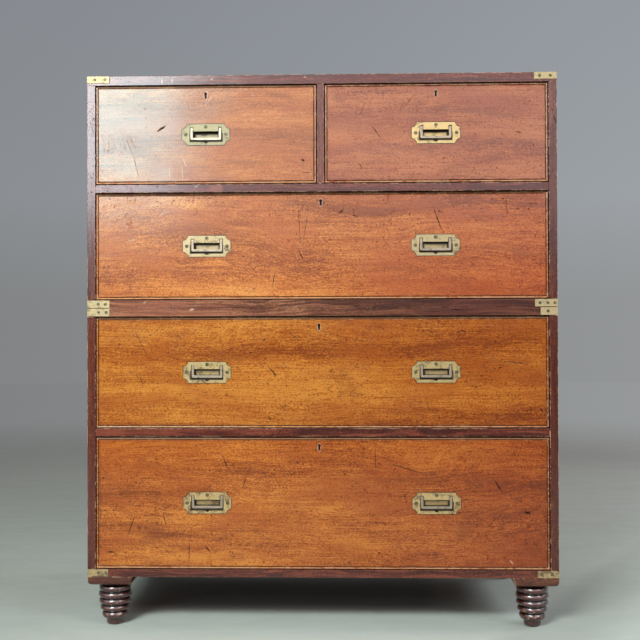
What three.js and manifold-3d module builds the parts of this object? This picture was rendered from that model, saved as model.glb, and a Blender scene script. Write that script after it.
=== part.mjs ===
// Two-part mahogany campaign chest of drawers on turned feet.
// Millimetres, +Z up, origin on the floor under the middle of the chest, drawers open towards -Y.
// An upper carcase with two short drawers over a long one stands on a lower carcase with two long
// drawers. Flush brass handles swing out, lock bolts rise, and the turned feet come out downwards.

import * as THREE from "three";
import { mergeVertices } from "three/addons/utils/BufferGeometryUtils.js";
import Module from "manifold-3d";

const wasm = await Module();
wasm.setup();

// Clearances
const jointGap = 0.3;
const cutOverrun = 1;
const joinBite = 0.2;

// Whole chest
const chestWidth = 914;
const chestDepth = 457;

// Boards of the two carcases
const sideThickness = 16;
const topThickness = 18;
const upperBaseThickness = 15.5;
const lowerTopThickness = 16;
const bottomThickness = 15;
const railThickness = 15.5;
const railDepth = 70;
const dustboardThickness = 8;
const partitionThickness = 14;
const housingDepth = 5;
const housingStop = 12;

// Back panels, let into rebates
const backThickness = 9;
const backRebate = 7;
const backBoardWidth = 145;
const backGrooveWidth = 2.4;
const backGrooveDepth = 2;

// Clear heights between the boards, one for each row of drawers
const shortOpening = 195;
const upperLongOpening = 210;
const lowerLongOpening = 218.5;
const bottomOpening = 258;

// Pegs that locate the upper carcase on the lower one
const pegRadius = 9;
const pegHeight = 11;
const pegTaper = 1.5;
const pegInset = 60;
const pegClearance = 0.6;

// Drawer fronts
const frontThickness = 22;
const frontSetback = 0.8;
const sideReveal = 1.8;
const topReveal = 2.2;
const baseReveal = 1.6;
const beadWidth = 3.2;
const beadRound = 1.1;
const quirkWidth = 1.5;
const quirkDepth = 1.8;
const quirkEase = 0.4;

// Drawer boxes
const boxSideThickness = 11;
const boxBackThickness = 10;
const boxBottomThickness = 7;
const boxBottomRise = 9;
const boxBottomTongue = 7;
const boxRimDrop = 5;
const boxBackDrop = 10;
const boxRearRoom = 14;
const runnerGap = 0.3;
const dovetailLap = 6;
const dovetailRoot = 17;
const dovetailFlare = 4;
const dovetailPitch = 44;

// Handle plates, with the pan behind
const longHandleOffset = 222.5;
const plateWidth = 93;
const plateHeight = 41;
const plateThickness = 2.4;
const plateProud = 0.3;
const plateCornerCut = 9.5;
const plateCornerStep = 2.2;
const windowWidth = 62.6;
const windowTop = 6.5;
const windowBottom = 13.5;
const armSlotWidth = 6.8;
const armSlotTop = 14.5;
const thumbRadius = 5.2;
const thumbDrop = 3.7;
const panDepth = 13.5;
const panWall = 1.6;
const panMargin = 0.7;
const panRound = 5;

// Bails
const bailSideGap = 1.1;
const bailArm = 4.7;
const bailBar = 4.7;
const bailThickness = 3.4;
const bailReach = 10.6;
const bailHead = 3;
const bailCornerRound = 2.4;
const pivotRise = 10.5;
const pivotPinRadius = 1.2;
const pivotPinLength = 2.4;

// Locks
const keyholeDrop = 19;
const keyholeHeight = 10.8;
const keyholeRadius = 1.95;
const keyholeSlot = 2.4;
const lowerKeyholeShift = 4;
const lockWidth = 58;
const lockHeight = 40;
const lockDepth = 12;
const lockBridge = 5;
const selvedgeLength = 62;
const selvedgeWidth = 11;
const selvedgeThickness = 1.2;
const boltWidth = 22;
const boltHeight = 26;
const boltThickness = 6;
const boltRoom = 1.5;
const boltSetback = 0.5;
const boltTravel = 8.5;
const talonWidth = 6;
const talonHeight = 7;
const mortiseRoom = 1.2;

// Corner brasses, let in flush
const brassThickness = 2;
const strapLength = 43.5;
const strapMargin = 0.5;
const topStrapDrop = 13;
const topLegWidth = 16;
const brokenStrapLength = 33;
const bottomStrapLength = 40.5;

// Foot blocks and turned feet
const blockSize = 88;
const blockThickness = 17;
const blockRound = 9;
const blockBevel = 6;
const footInset = 44;
const footHeight = 84.5;
const footRadius = 32.5;
const neckHeight = 5;
const padHeight = 14;
const padRadius = 17;
const padRound = 4;
const ringGroove = 4.2;
const spigotRadius = 12;
const spigotLength = 26.5;
const spigotChamfer = 2;
const spigotClearance = 0.5;

// Ring radii from the top of the foot down, as shares of the foot's radius
const ringRadiusShares = [0.96, 1, 0.965, 0.895, 0.79];
// How far up its pitch each point of a ring lies, and how full the ring is there
const ringRiseShares = [0.2, 0.5, 0.8];
const ringFullnessShares = [0.78, 1, 0.78];

// Facets of round work, and how far the hollow corners of a handle plate turn
const footFacets = 18;
const pegFacets = 16;
const pinFacets = 8;
const arcFacets = 4;
const keyholeFacets = 8;
const bailCornerFacets = 2;
const quarterTurn = Math.PI / 2;
const plateCornerTurn = Math.PI / 4;

// Sizes that follow from the ones above
const halfWidth = chestWidth / 2;
const halfDepth = chestDepth / 2;
const frontPlane = -halfDepth;
const openingWidth = chestWidth - 2 * sideThickness;
const shortOpeningWidth = (openingWidth - partitionThickness) / 2;
const shortCentre = (shortOpeningWidth + partitionThickness) / 2;
const upperHeight = topThickness + shortOpening + railThickness + upperLongOpening + upperBaseThickness;
const lowerHeight = lowerTopThickness + lowerLongOpening + railThickness + bottomOpening + bottomThickness;
const blockBase = footHeight + jointGap;
const lowerBase = blockBase + blockThickness + jointGap;
const upperBase = lowerBase + lowerHeight + jointGap;
const backFace = halfDepth - backThickness - jointGap;
const drawerLength = chestDepth - backThickness - frontSetback - boxRearRoom;
const plateBack = plateThickness - plateProud;
const panHalfWidth = windowWidth / 2 + panMargin + panWall;
const panTop = armSlotTop + panMargin + panWall;
const panBottom = windowBottom + thumbDrop + panMargin + panWall;
const bailHalfWidth = windowWidth / 2 - bailSideGap;
const pivotDepth = bailThickness / 2 - plateProud;
const boltNear = frontThickness - lockDepth + boltRoom;
const boltFar = boltNear + boltThickness;
const mortiseDepth = boltTravel - boltSetback - topReveal + mortiseRoom;

// Closed meshes in and out of the solid library
function solidFrom(geometry) {
  geometry.deleteAttribute("normal");
  geometry.deleteAttribute("uv");
  const merged = mergeVertices(geometry);
  const corners = merged.index.array;
  const kept = [];
  for (let i = 0; i < corners.length; i += 3) {
    const [a, b, c] = [corners[i], corners[i + 1], corners[i + 2]];
    if (a !== b && b !== c && c !== a) kept.push(a, b, c);
  }
  return new wasm.Manifold(new wasm.Mesh({
    numProp: 3,
    vertProperties: Float32Array.from(merged.attributes.position.array),
    triVerts: Uint32Array.from(kept),
  }));
}

function geometryFrom(solid) {
  const mesh = solid.getMesh();
  const geometry = new THREE.BufferGeometry();
  geometry.setAttribute("position", new THREE.BufferAttribute(mesh.vertProperties, 3));
  geometry.setIndex(new THREE.BufferAttribute(mesh.triVerts, 1));
  geometry.computeVertexNormals();
  return geometry;
}

function joined(solids) {
  return solids.reduce((whole, solid) => whole.add(solid));
}

function without(solid, cutters) {
  return cutters.reduce((rest, cutter) => rest.subtract(cutter), solid);
}

// Ranges along an axis
const between = (a, b) => [Math.min(a, b), Math.max(a, b)];
const about = (centre, half) => [centre - half, centre + half];
const widened = (range, by) => [range[0] - by, range[1] + by];

// A box over three ranges
function block(x, y, z) {
  const geometry = new THREE.BoxGeometry(x[1] - x[0], y[1] - y[0], z[1] - z[0]);
  geometry.translate((x[0] + x[1]) / 2, (y[0] + y[1]) / 2, (z[0] + z[1]) / 2);
  return solidFrom(geometry);
}

// An outline swept along X, drawn in (Y, Z), or along Y, drawn in (X, Z)
function prism(shape, axis, range) {
  const geometry = new THREE.ExtrudeGeometry(shape, { depth: range[1] - range[0], bevelEnabled: false });
  geometry.rotateX(quarterTurn);
  if (axis === "x") {
    geometry.rotateZ(quarterTurn);
    geometry.translate(range[0], 0, 0);
  } else {
    geometry.translate(0, range[1], 0);
  }
  return solidFrom(geometry);
}

// A round bar along X or Z through a point
function bar(axis, radius, range, centre, facets, farRadius = radius) {
  const geometry = new THREE.CylinderGeometry(farRadius, radius, range[1] - range[0], facets);
  const middle = (range[0] + range[1]) / 2;
  if (axis === "x") {
    geometry.rotateZ(-quarterTurn);
    geometry.translate(middle, centre[0], centre[1]);
  } else {
    geometry.rotateX(quarterTurn);
    geometry.translate(centre[0], centre[1], middle);
  }
  return solidFrom(geometry);
}

function outline(points) {
  return new THREE.Shape(points.map(([x, y]) => new THREE.Vector2(x, y)));
}

// Points on an arc, from one angle to another in equal steps
function arc(centre, radius, from, to, facets = arcFacets) {
  return Array.from({ length: facets + 1 }, (_, step) => {
    const angle = from + (to - from) * (step / facets);
    return [centre[0] + radius * Math.cos(angle), centre[1] + radius * Math.sin(angle)];
  });
}

const mirrored = points => [...points].reverse().map(([x, z]) => [-x, z]);

// Finishes
const finishes = {
  frontMahogany: { color: 0x9a4f24, roughness: 0.42, metalness: 0 },
  carcaseMahogany: { color: 0x57271c, roughness: 0.4, metalness: 0 },
  turnedMahogany: { color: 0x3a1a14, roughness: 0.32, metalness: 0 },
  lining: { color: 0xa98257, roughness: 0.75, metalness: 0 },
  backWood: { color: 0x7d5a3c, roughness: 0.8, metalness: 0 },
  brass: { color: 0xb9a66a, roughness: 0.38, metalness: 0.9 },
  boltBrass: { color: 0x8f7f4f, roughness: 0.5, metalness: 0.9 },
};

function addMesh(parent, name, solid, finish, place = [0, 0, 0]) {
  const mesh = new THREE.Mesh(geometryFrom(solid), new THREE.MeshStandardMaterial(finishes[finish]));
  mesh.name = name;
  mesh.position.set(...place);
  parent.add(mesh);
}

// L-shaped strap round a front corner: spare widens its seat, past opens the seat outwards
function edgeStrap(side, length, z, spare, past) {
  const outer = side * halfWidth;
  const nearFront = [frontPlane - past, frontPlane + brassThickness + spare];
  const alongFront = between(outer - side * (length + spare), outer + side * past);
  const nearSide = between(outer - side * (brassThickness + spare), outer + side * past);
  const alongSide = [frontPlane - past, frontPlane + strapLength + spare];
  const height = widened(z, spare);
  return joined([block(alongFront, nearFront, height), block(nearSide, alongSide, height)]);
}

// The same strap with legs turned over the top of the chest
function topCorner(side, spare, past) {
  const outer = side * halfWidth;
  const drop = [upperHeight - topStrapDrop, upperHeight + past - spare];
  const flange = edgeStrap(side, strapLength, drop, spare, past);
  const plate = [upperHeight - brassThickness - spare, upperHeight + past];
  const frontLeg = block(
    between(outer - side * (strapLength + spare), outer + side * past),
    [frontPlane - past, frontPlane + topLegWidth + spare],
    plate,
  );
  const sideLeg = block(
    between(outer - side * (topLegWidth + spare), outer + side * past),
    [frontPlane - past, frontPlane + strapLength + spare],
    plate,
  );
  return joined([flange, frontLeg, sideLeg]);
}

// Cuts in the carcase boards
function boardRebate(z) {
  const half = halfWidth - sideThickness + backRebate;
  return block([-half, half], [backFace, halfDepth + cutOverrun], z);
}

function boltMortise(x, z) {
  const y = widened([boltNear, boltFar], mortiseRoom).map(depth => frontPlane + frontSetback + depth);
  return block(about(x, boltWidth / 2 + mortiseRoom), y, [z - cutOverrun, z + mortiseDepth]);
}

function cornerPlaces(inset) {
  const places = [];
  for (const y of [inset - halfDepth, halfDepth - inset]) {
    for (const x of [inset - halfWidth, halfWidth - inset]) places.push([x, y]);
  }
  return places;
}

// Horizontal boards run over the ends of the sides
function horizontalBoard(z) {
  return block([-halfWidth, halfWidth], [-halfDepth, halfDepth], z);
}

function strapSeats(z, length) {
  return [-1, 1].map(side => edgeStrap(side, length, widened(z, -strapMargin), jointGap, cutOverrun));
}

function sideBoard(side, z, railTop) {
  const outer = side * halfWidth;
  const inner = outer - side * sideThickness;
  const housing = block(
    between(inner + side * (housingDepth + jointGap), inner - side * cutOverrun),
    [frontPlane + housingStop - jointGap, backFace + cutOverrun],
    [railTop - dustboardThickness - jointGap, railTop + jointGap],
  );
  const rebate = block(
    between(inner + side * backRebate, inner - side * cutOverrun),
    [backFace, halfDepth + cutOverrun],
    widened(z, cutOverrun),
  );
  const board = block(between(outer, inner), [-halfDepth, halfDepth], widened(z, -jointGap));
  return without(board, [housing, rebate]);
}

function backPanel(z) {
  const half = halfWidth - sideThickness + backRebate - jointGap;
  const height = widened(z, backRebate - jointGap);
  const panel = block([-half, half], [halfDepth - backThickness, halfDepth], height);
  const boards = Math.max(2, Math.round((2 * half) / backBoardWidth));
  const grooves = [];
  for (let i = 1; i < boards; i += 1) {
    const x = -half + (2 * half * i) / boards;
    const y = [halfDepth - backGrooveDepth, halfDepth + cutOverrun];
    grooves.push(block(about(x, backGrooveWidth / 2), y, widened(height, cutOverrun)));
  }
  return without(panel, grooves);
}

// Front rail with the dustboard behind it, housed in the sides
function drawerRail(railTop, mortises) {
  const half = halfWidth - sideThickness - jointGap;
  const rail = block(
    [-half, half],
    [frontPlane, frontPlane + railDepth],
    [railTop - railThickness, railTop],
  );
  const board = block(
    [-half - housingDepth, half + housingDepth],
    [frontPlane + housingStop, backFace - jointGap],
    [railTop - dustboardThickness, railTop],
  );
  return without(joined([rail, board]), mortises);
}

// Drawer front with a bead and quirk round its edge
function beadedPanel(half, z) {
  const panelEdge = beadWidth + quirkWidth;
  const rings = [
    [0, frontThickness],
    [0, beadRound],
    [beadRound * (1 - Math.SQRT1_2), beadRound * (1 - Math.SQRT1_2)],
    [beadRound, 0],
    [beadWidth - beadRound, 0],
    [beadWidth - beadRound * (1 - Math.SQRT1_2), beadRound * (1 - Math.SQRT1_2)],
    [beadWidth, beadRound],
    [beadWidth, quirkDepth],
    [panelEdge, quirkDepth],
    [panelEdge, quirkEase],
    [panelEdge + quirkEase, 0],
  ];
  const positions = [];
  for (const [inset, y] of rings) {
    positions.push(inset - half, y, z[0] + inset, half - inset, y, z[0] + inset);
    positions.push(half - inset, y, z[1] - inset, inset - half, y, z[1] - inset);
  }
  const index = [0, 2, 1, 0, 3, 2];
  for (let ring = 1; ring < rings.length; ring += 1) {
    for (let corner = 0; corner < 4; corner += 1) {
      const next = (corner + 1) % 4;
      const [a, b] = [(ring - 1) * 4 + corner, (ring - 1) * 4 + next];
      const [c, d] = [ring * 4 + corner, ring * 4 + next];
      index.push(a, b, d, a, d, c);
    }
  }
  const last = (rings.length - 1) * 4;
  index.push(last, last + 1, last + 2, last, last + 2, last + 3);
  const geometry = new THREE.BufferGeometry();
  geometry.setAttribute("position", new THREE.Float32BufferAttribute(positions, 3));
  geometry.setIndex(index);
  return solidFrom(geometry);
}

// Dovetails: the tails on a drawer side, and their sockets when spare is given
function tails(drawer, side, spare, past) {
  const outer = drawer.half;
  const count = Math.max(2, Math.floor((drawer.rim - drawer.frontBase) / dovetailPitch));
  const step = (drawer.rim - drawer.frontBase) / count;
  const root = dovetailRoot / 2 + spare;
  const end = root + dovetailFlare;
  const near = dovetailLap - spare;
  const far = frontThickness + jointGap + joinBite;
  const x = between(side * (outer - boxSideThickness - spare), side * (outer + past));
  const solids = [];
  for (let i = 0; i < count; i += 1) {
    const z = drawer.frontBase + step * (i + 1 / 2);
    const shape = outline([[near, z - end], [far, z - root], [far, z + root], [near, z + end]]);
    solids.push(prism(shape, "x", x));
  }
  return solids;
}

function tongue(drawer, spare) {
  return block(
    widened([boxSideThickness - drawer.half, drawer.half - boxSideThickness], spare),
    [frontThickness - boxBottomTongue - spare, frontThickness + jointGap + joinBite],
    widened([boxBottomRise, boxBottomRise + boxBottomThickness], spare),
  );
}

// Handle plate, drawn round its own centre on the drawer's face
function plateOutline(spare) {
  const right = plateWidth / 2 + spare;
  const top = plateHeight / 2 + spare;
  const bite = plateCornerCut - plateCornerStep;
  const radius = (bite * Math.SQRT1_2) / Math.sin(plateCornerTurn / 2);
  const away = radius * Math.cos(plateCornerTurn / 2) * Math.SQRT1_2;
  const middle = [right - plateCornerStep - bite / 2 + away, top - plateCornerStep - bite / 2 + away];
  const inwards = (5 / 4) * Math.PI;
  const hollow = arc(middle, radius, inwards + plateCornerTurn / 2, inwards - plateCornerTurn / 2);
  const quarter = [[right, top - plateCornerCut], ...hollow, [right - plateCornerCut, top]];
  const upper = [...quarter, ...mirrored(quarter)];
  return outline([...upper, ...upper.map(([x, z]) => [-x, -z])]);
}

function windowOutline() {
  const half = windowWidth / 2;
  const slot = half - armSlotWidth;
  const rise = thumbRadius - thumbDrop;
  const sweep = Math.acos(rise / thumbRadius);
  const notch = arc([0, rise - windowBottom], thumbRadius, -quarterTurn - sweep, -quarterTurn + sweep);
  const right = [[half, -windowBottom], [half, armSlotTop], [slot, armSlotTop], [slot, windowTop]];
  return outline([...notch, ...right, ...mirrored(right)]);
}

// The pan is a box open towards the plate, rounded inside along its back
function panSolid() {
  const near = plateBack - joinBite;
  const outside = block([-panHalfWidth, panHalfWidth], [near, panDepth], [-panBottom, panTop]);
  const round = panDepth - panWall - panRound;
  const [low, high] = [panWall - panBottom, panTop - panWall];
  const hollow = outline([
    [near - cutOverrun, low],
    ...arc([round, low + panRound], panRound, -quarterTurn, 0),
    ...arc([round, high - panRound], panRound, 0, quarterTurn),
    [near - cutOverrun, high],
  ]);
  return without(outside, [prism(hollow, "x", about(0, panHalfWidth - panWall))]);
}

function pivotHoles() {
  return [-1, 1].map(side => bar(
    "x",
    pivotPinRadius + jointGap,
    between(side * (bailHalfWidth - joinBite), side * (bailHalfWidth + pivotPinLength + jointGap)),
    [pivotDepth, pivotRise],
    pinFacets,
  ));
}

function handlePlate() {
  const plate = prism(plateOutline(0), "y", [-plateProud, plateBack]);
  const windowCut = prism(windowOutline(), "y", [-plateProud - cutOverrun, plateBack + cutOverrun]);
  return without(joined([without(plate, [windowCut]), panSolid()]), pivotHoles());
}

function handlePocket(x, z) {
  const seat = prism(plateOutline(jointGap), "y", [-cutOverrun, plateBack + jointGap]);
  const pocket = block(
    about(0, panHalfWidth + jointGap),
    [0, panDepth + jointGap],
    widened([-panBottom, panTop], jointGap),
  );
  return joined([seat, pocket]).translate([x, 0, z]);
}

function bailSolid() {
  const outer = bailHalfWidth;
  const inner = outer - bailArm;
  const top = pivotRise + bailHead;
  const turn = [outer - bailCornerRound, bailCornerRound - bailReach];
  const right = [
    ...arc(turn, bailCornerRound, -quarterTurn, 0, bailCornerFacets),
    [outer, top],
    [inner, top],
    [inner, bailBar - bailReach],
  ];
  const thickness = [-plateProud, bailThickness - plateProud];
  const loop = prism(outline([...right, ...mirrored(right)]), "y", thickness);
  const pins = [-1, 1].map(side => bar(
    "x",
    pivotPinRadius,
    between(side * (outer - joinBite), side * (outer + pivotPinLength)),
    [pivotDepth, pivotRise],
    pinFacets,
  ));
  return joined([loop, ...pins]);
}

// Lock recesses in a drawer front, round the keyhole's centre line
function keyhole(x, z) {
  const half = keyholeSlot / 2;
  const middle = [x, z + keyholeHeight / 2 - keyholeRadius];
  const open = Math.asin(half / keyholeRadius);
  const shape = outline([
    [x + half, z - keyholeHeight / 2],
    ...arc(middle, keyholeRadius, open - quarterTurn, 3 * quarterTurn - open, keyholeFacets),
    [x - half, z - keyholeHeight / 2],
  ]);
  return prism(shape, "y", [-cutOverrun, frontThickness - lockDepth + joinBite]);
}

function lockRecess(x, top) {
  const mortise = block(
    about(x, lockWidth / 2),
    [frontThickness - lockDepth, frontThickness + cutOverrun],
    [top - lockBridge - lockHeight, top - lockBridge],
  );
  const slot = block(
    about(x, boltWidth / 2 + jointGap),
    widened([boltNear, boltFar], jointGap),
    [top - lockBridge - joinBite, top + cutOverrun],
  );
  const selvedge = block(
    about(x, selvedgeLength / 2),
    [frontThickness - selvedgeWidth, frontThickness + cutOverrun],
    [top - selvedgeThickness, top + cutOverrun],
  );
  return [mortise, slot, selvedge, keyhole(x, top - keyholeDrop)];
}

function boltSolid() {
  const body = block(about(0, boltWidth / 2), [boltNear, boltFar], [-boltHeight, 0]);
  const talon = block(
    about(0, talonWidth / 2),
    widened([boltNear, boltFar], cutOverrun),
    [-boltHeight - cutOverrun, talonHeight - boltHeight],
  );
  return without(body, [talon]);
}

// Drawers, drawn from the middle of the opening's sill, with the drawer's face at Y zero
function drawerFront(drawer) {
  const panel = beadedPanel(drawer.half, [drawer.frontBase, drawer.frontTop]);
  const middle = (drawer.frontBase + drawer.frontTop) / 2;
  return without(panel, [
    ...drawer.handles.map(handle => handlePocket(handle.x, middle)),
    ...lockRecess(drawer.keyholeX, drawer.frontTop),
    tongue(drawer, jointGap),
    ...tails(drawer, -1, jointGap, cutOverrun),
    ...tails(drawer, 1, jointGap, cutOverrun),
  ]);
}

function drawerBox(drawer) {
  const inner = drawer.half - boxSideThickness;
  const near = frontThickness + jointGap;
  const length = [near, drawerLength];
  const bottom = [boxBottomRise, boxBottomRise + boxBottomThickness];
  const back = [drawerLength - boxBackThickness, drawerLength];
  const across = [-inner - joinBite, inner + joinBite];
  const solids = [
    block(between(-drawer.half, -inner), length, [runnerGap, drawer.rim]),
    block(between(inner, drawer.half), length, [runnerGap, drawer.rim]),
    block(across, length, bottom),
    block(across, back, [boxBottomRise, drawer.rim - boxBackDrop]),
    tongue(drawer, 0),
    ...tails(drawer, -1, 0, 0),
    ...tails(drawer, 1, 0, 0),
  ];
  return joined(solids);
}

function addDrawer(carcase, settings) {
  const drawer = {
    ...settings,
    half: settings.width / 2 - sideReveal,
    frontBase: baseReveal,
    frontTop: settings.height - topReveal,
    rim: settings.height - topReveal - boxRimDrop,
  };
  const group = new THREE.Group();
  group.position.set(drawer.x, frontPlane + frontSetback, drawer.sill);
  const middle = (drawer.frontBase + drawer.frontTop) / 2;
  addMesh(group, `${drawer.name}_front`, drawerFront(drawer), "frontMahogany");
  addMesh(group, `${drawer.name}_box`, drawerBox(drawer), "lining");
  for (const handle of drawer.handles) {
    const place = [handle.x, 0, middle];
    addMesh(group, `${drawer.name}_${handle.prefix}handle_plate`, handlePlate(), "brass", place);
    addMesh(group, `${drawer.name}_${handle.prefix}bail`, bailSolid(), "brass", place);
  }
  const boltPlace = [drawer.keyholeX, 0, drawer.frontTop - boltSetback];
  addMesh(group, `${drawer.name}_lock_bolt`, boltSolid(), "boltBrass", boltPlace);
  carcase.add(group);
}

const oneHandle = [{ prefix: "", x: 0 }];
const twoHandles = [{ prefix: "left_", x: -longHandleOffset }, { prefix: "right_", x: longHandleOffset }];

// Upper carcase, drawn from its own underside
function upperCarcase() {
  const group = new THREE.Group();
  group.position.set(0, 0, upperBase);
  const longSill = upperBaseThickness;
  const railTop = longSill + upperLongOpening + railThickness;
  const topUnderside = upperHeight - topThickness;
  const baseRange = [0, upperBaseThickness];
  const innerRange = [upperBaseThickness, topUnderside];

  const top = without(horizontalBoard([topUnderside, upperHeight]), [
    boardRebate([topUnderside - cutOverrun, topUnderside + backRebate]),
    topCorner(-1, jointGap, cutOverrun),
    topCorner(1, jointGap, cutOverrun),
    boltMortise(-shortCentre, topUnderside),
    boltMortise(shortCentre, topUnderside),
  ]);
  addMesh(group, "upper_top_board", top, "carcaseMahogany");

  const pegHoles = cornerPlaces(pegInset).map(place => bar(
    "z",
    pegRadius + pegClearance,
    [-cutOverrun, pegHeight + pegClearance],
    place,
    pegFacets,
  ));
  const base = without(horizontalBoard(baseRange), [
    boardRebate([upperBaseThickness - backRebate, upperBaseThickness + cutOverrun]),
    ...strapSeats(baseRange, strapLength),
    ...pegHoles,
  ]);
  addMesh(group, "upper_base_board", base, "carcaseMahogany");

  addMesh(group, "upper_left_side", sideBoard(-1, innerRange, railTop), "carcaseMahogany");
  addMesh(group, "upper_right_side", sideBoard(1, innerRange, railTop), "carcaseMahogany");
  addMesh(group, "upper_back_panel", backPanel(innerRange), "backWood");
  const railMortise = boltMortise(0, railTop - railThickness);
  addMesh(group, "upper_drawer_rail", drawerRail(railTop, [railMortise]), "carcaseMahogany");
  const partition = block(
    about(0, partitionThickness / 2),
    [frontPlane, backFace - jointGap],
    [railTop + jointGap, topUnderside - jointGap],
  );
  addMesh(group, "upper_partition", partition, "carcaseMahogany");

  for (const [side, word] of [[-1, "left"], [1, "right"]]) {
    addMesh(group, `top_${word}_corner_brass`, topCorner(side, 0, 0), "brass");
    const strap = edgeStrap(side, strapLength, widened(baseRange, -strapMargin), 0, 0);
    addMesh(group, `upper_base_${word}_corner_brass`, strap, "brass");
    addDrawer(group, {
      name: `${word}_short_drawer`,
      x: side * shortCentre,
      sill: railTop,
      width: shortOpeningWidth,
      height: shortOpening,
      handles: oneHandle,
      keyholeX: 0,
    });
  }
  addDrawer(group, {
    name: "upper_long_drawer",
    x: 0,
    sill: longSill,
    width: openingWidth,
    height: upperLongOpening,
    handles: twoHandles,
    keyholeX: 0,
  });
  return group;
}

// Lower carcase, drawn from its own underside
function lowerCarcase() {
  const group = new THREE.Group();
  group.position.set(0, 0, lowerBase);
  const railTop = bottomThickness + bottomOpening + railThickness;
  const topUnderside = lowerHeight - lowerTopThickness;
  const topRange = [topUnderside, lowerHeight];
  const bottomRange = [0, bottomThickness];
  const innerRange = [bottomThickness, topUnderside];

  const pegs = cornerPlaces(pegInset).map(place => bar(
    "z",
    pegRadius,
    [lowerHeight - joinBite, lowerHeight + pegHeight],
    place,
    pegFacets,
    pegRadius - pegTaper,
  ));
  const topBoard = without(horizontalBoard(topRange), [
    boardRebate([topUnderside - cutOverrun, topUnderside + backRebate]),
    ...strapSeats(topRange, strapLength),
    boltMortise(-lowerKeyholeShift, topUnderside),
  ]);
  addMesh(group, "lower_top_board", joined([topBoard, ...pegs]), "carcaseMahogany");

  const spigotHoles = cornerPlaces(footInset).map(place => bar(
    "z",
    spigotRadius + spigotClearance,
    [-cutOverrun, spigotLength - blockThickness],
    place,
    footFacets,
  ));
  const bottomBoard = without(horizontalBoard(bottomRange), [
    boardRebate([bottomThickness - backRebate, bottomThickness + cutOverrun]),
    ...strapSeats(bottomRange, bottomStrapLength),
    ...spigotHoles,
  ]);
  addMesh(group, "lower_bottom_board", bottomBoard, "carcaseMahogany");

  addMesh(group, "lower_left_side", sideBoard(-1, innerRange, railTop), "carcaseMahogany");
  addMesh(group, "lower_right_side", sideBoard(1, innerRange, railTop), "carcaseMahogany");
  addMesh(group, "lower_back_panel", backPanel(innerRange), "backWood");
  const railMortise = boltMortise(-lowerKeyholeShift, railTop - railThickness);
  addMesh(group, "lower_drawer_rail", drawerRail(railTop, [railMortise]), "carcaseMahogany");

  for (const [side, word] of [[-1, "left"], [1, "right"]]) {
    const length = side > 0 ? brokenStrapLength : strapLength;
    const topStrap = edgeStrap(side, length, widened(topRange, -strapMargin), 0, 0);
    addMesh(group, `lower_top_${word}_corner_brass`, topStrap, "brass");
    const bottomStrap = edgeStrap(side, bottomStrapLength, widened(bottomRange, -strapMargin), 0, 0);
    addMesh(group, `bottom_${word}_corner_brass`, bottomStrap, "brass");
  }
  addDrawer(group, {
    name: "lower_long_drawer",
    x: 0,
    sill: railTop,
    width: openingWidth,
    height: lowerLongOpening,
    handles: twoHandles,
    keyholeX: -lowerKeyholeShift,
  });
  addDrawer(group, {
    name: "bottom_drawer",
    x: 0,
    sill: bottomThickness,
    width: openingWidth,
    height: bottomOpening,
    handles: twoHandles,
    keyholeX: -lowerKeyholeShift,
  });
  return group;
}

// Foot block: its outer lower edges are rounded and its inner ones bevelled
function blockProfile(side) {
  const half = blockSize / 2;
  const profile = [
    [-half, blockThickness],
    [blockBevel - half, 0],
    ...arc([half - blockRound, blockRound], blockRound, -quarterTurn, 0),
    [half, blockThickness],
  ];
  return outline(profile.map(([x, z]) => [side * x, z]));
}

function blockSolid(sideX, sideY) {
  const reach = about(0, blockSize / 2);
  const through = widened([0, blockThickness], cutOverrun);
  const middle = [sideX * (blockSize / 2 - footInset), sideY * (blockSize / 2 - footInset)];
  const bore = bar("z", spigotRadius + spigotClearance, through, middle, footFacets);
  const across = prism(blockProfile(sideX), "y", reach);
  const along = prism(blockProfile(sideY), "x", reach);
  return without(across.intersect(along), [bore]);
}

// Turned foot: a pad, rings, a neck and a spigot, drawn from the floor up
function footSolid() {
  const radii = ringRadiusShares.map(share => share * footRadius);
  const pitch = (footHeight - padHeight - neckHeight) / radii.length;
  const points = [[0, 0], [padRadius - padRound, 0], [padRadius, padRound], [padRadius, padHeight]];
  for (let ring = radii.length - 1; ring >= 0; ring -= 1) {
    const base = footHeight - neckHeight - pitch * (ring + 1);
    const ringBelow = radii[Math.min(ring + 1, radii.length - 1)];
    points.push([ringBelow - ringGroove, base]);
    ringRiseShares.forEach((share, i) => {
      points.push([radii[ring] - ringGroove * (1 - ringFullnessShares[i]), base + pitch * share]);
    });
  }
  points.push([radii[0] - ringGroove, footHeight - neckHeight]);
  points.push([radii[0] - ringGroove, footHeight]);
  points.push([spigotRadius, footHeight]);
  points.push([spigotRadius, footHeight + spigotLength - spigotChamfer]);
  points.push([spigotRadius - spigotChamfer, footHeight + spigotLength]);
  points.push([0, footHeight + spigotLength]);
  const geometry = new THREE.LatheGeometry(points.map(([r, z]) => new THREE.Vector2(r, z)), footFacets);
  geometry.rotateX(quarterTurn);
  return solidFrom(geometry);
}

const chest = new THREE.Group();
chest.add(lowerCarcase());
chest.add(upperCarcase());
for (const [sideY, depthWord] of [[-1, "front"], [1, "rear"]]) {
  for (const [sideX, sideWord] of [[-1, "left"], [1, "right"]]) {
    const name = `${depthWord}_${sideWord}_foot`;
    const blockPlace = [sideX * (halfWidth - blockSize / 2), sideY * (halfDepth - blockSize / 2), blockBase];
    const footPlace = [sideX * (halfWidth - footInset), sideY * (halfDepth - footInset), 0];
    addMesh(chest, `${name}_block`, blockSolid(sideX, sideY), "carcaseMahogany", blockPlace);
    addMesh(chest, name, footSolid(), "turnedMahogany", footPlace);
  }
}

export default chest;
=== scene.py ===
"""Looks of the two-part mahogany campaign chest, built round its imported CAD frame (metres)."""

import math
import random

import bmesh
import bpy
from mathutils import Matrix, Vector, noise


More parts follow.
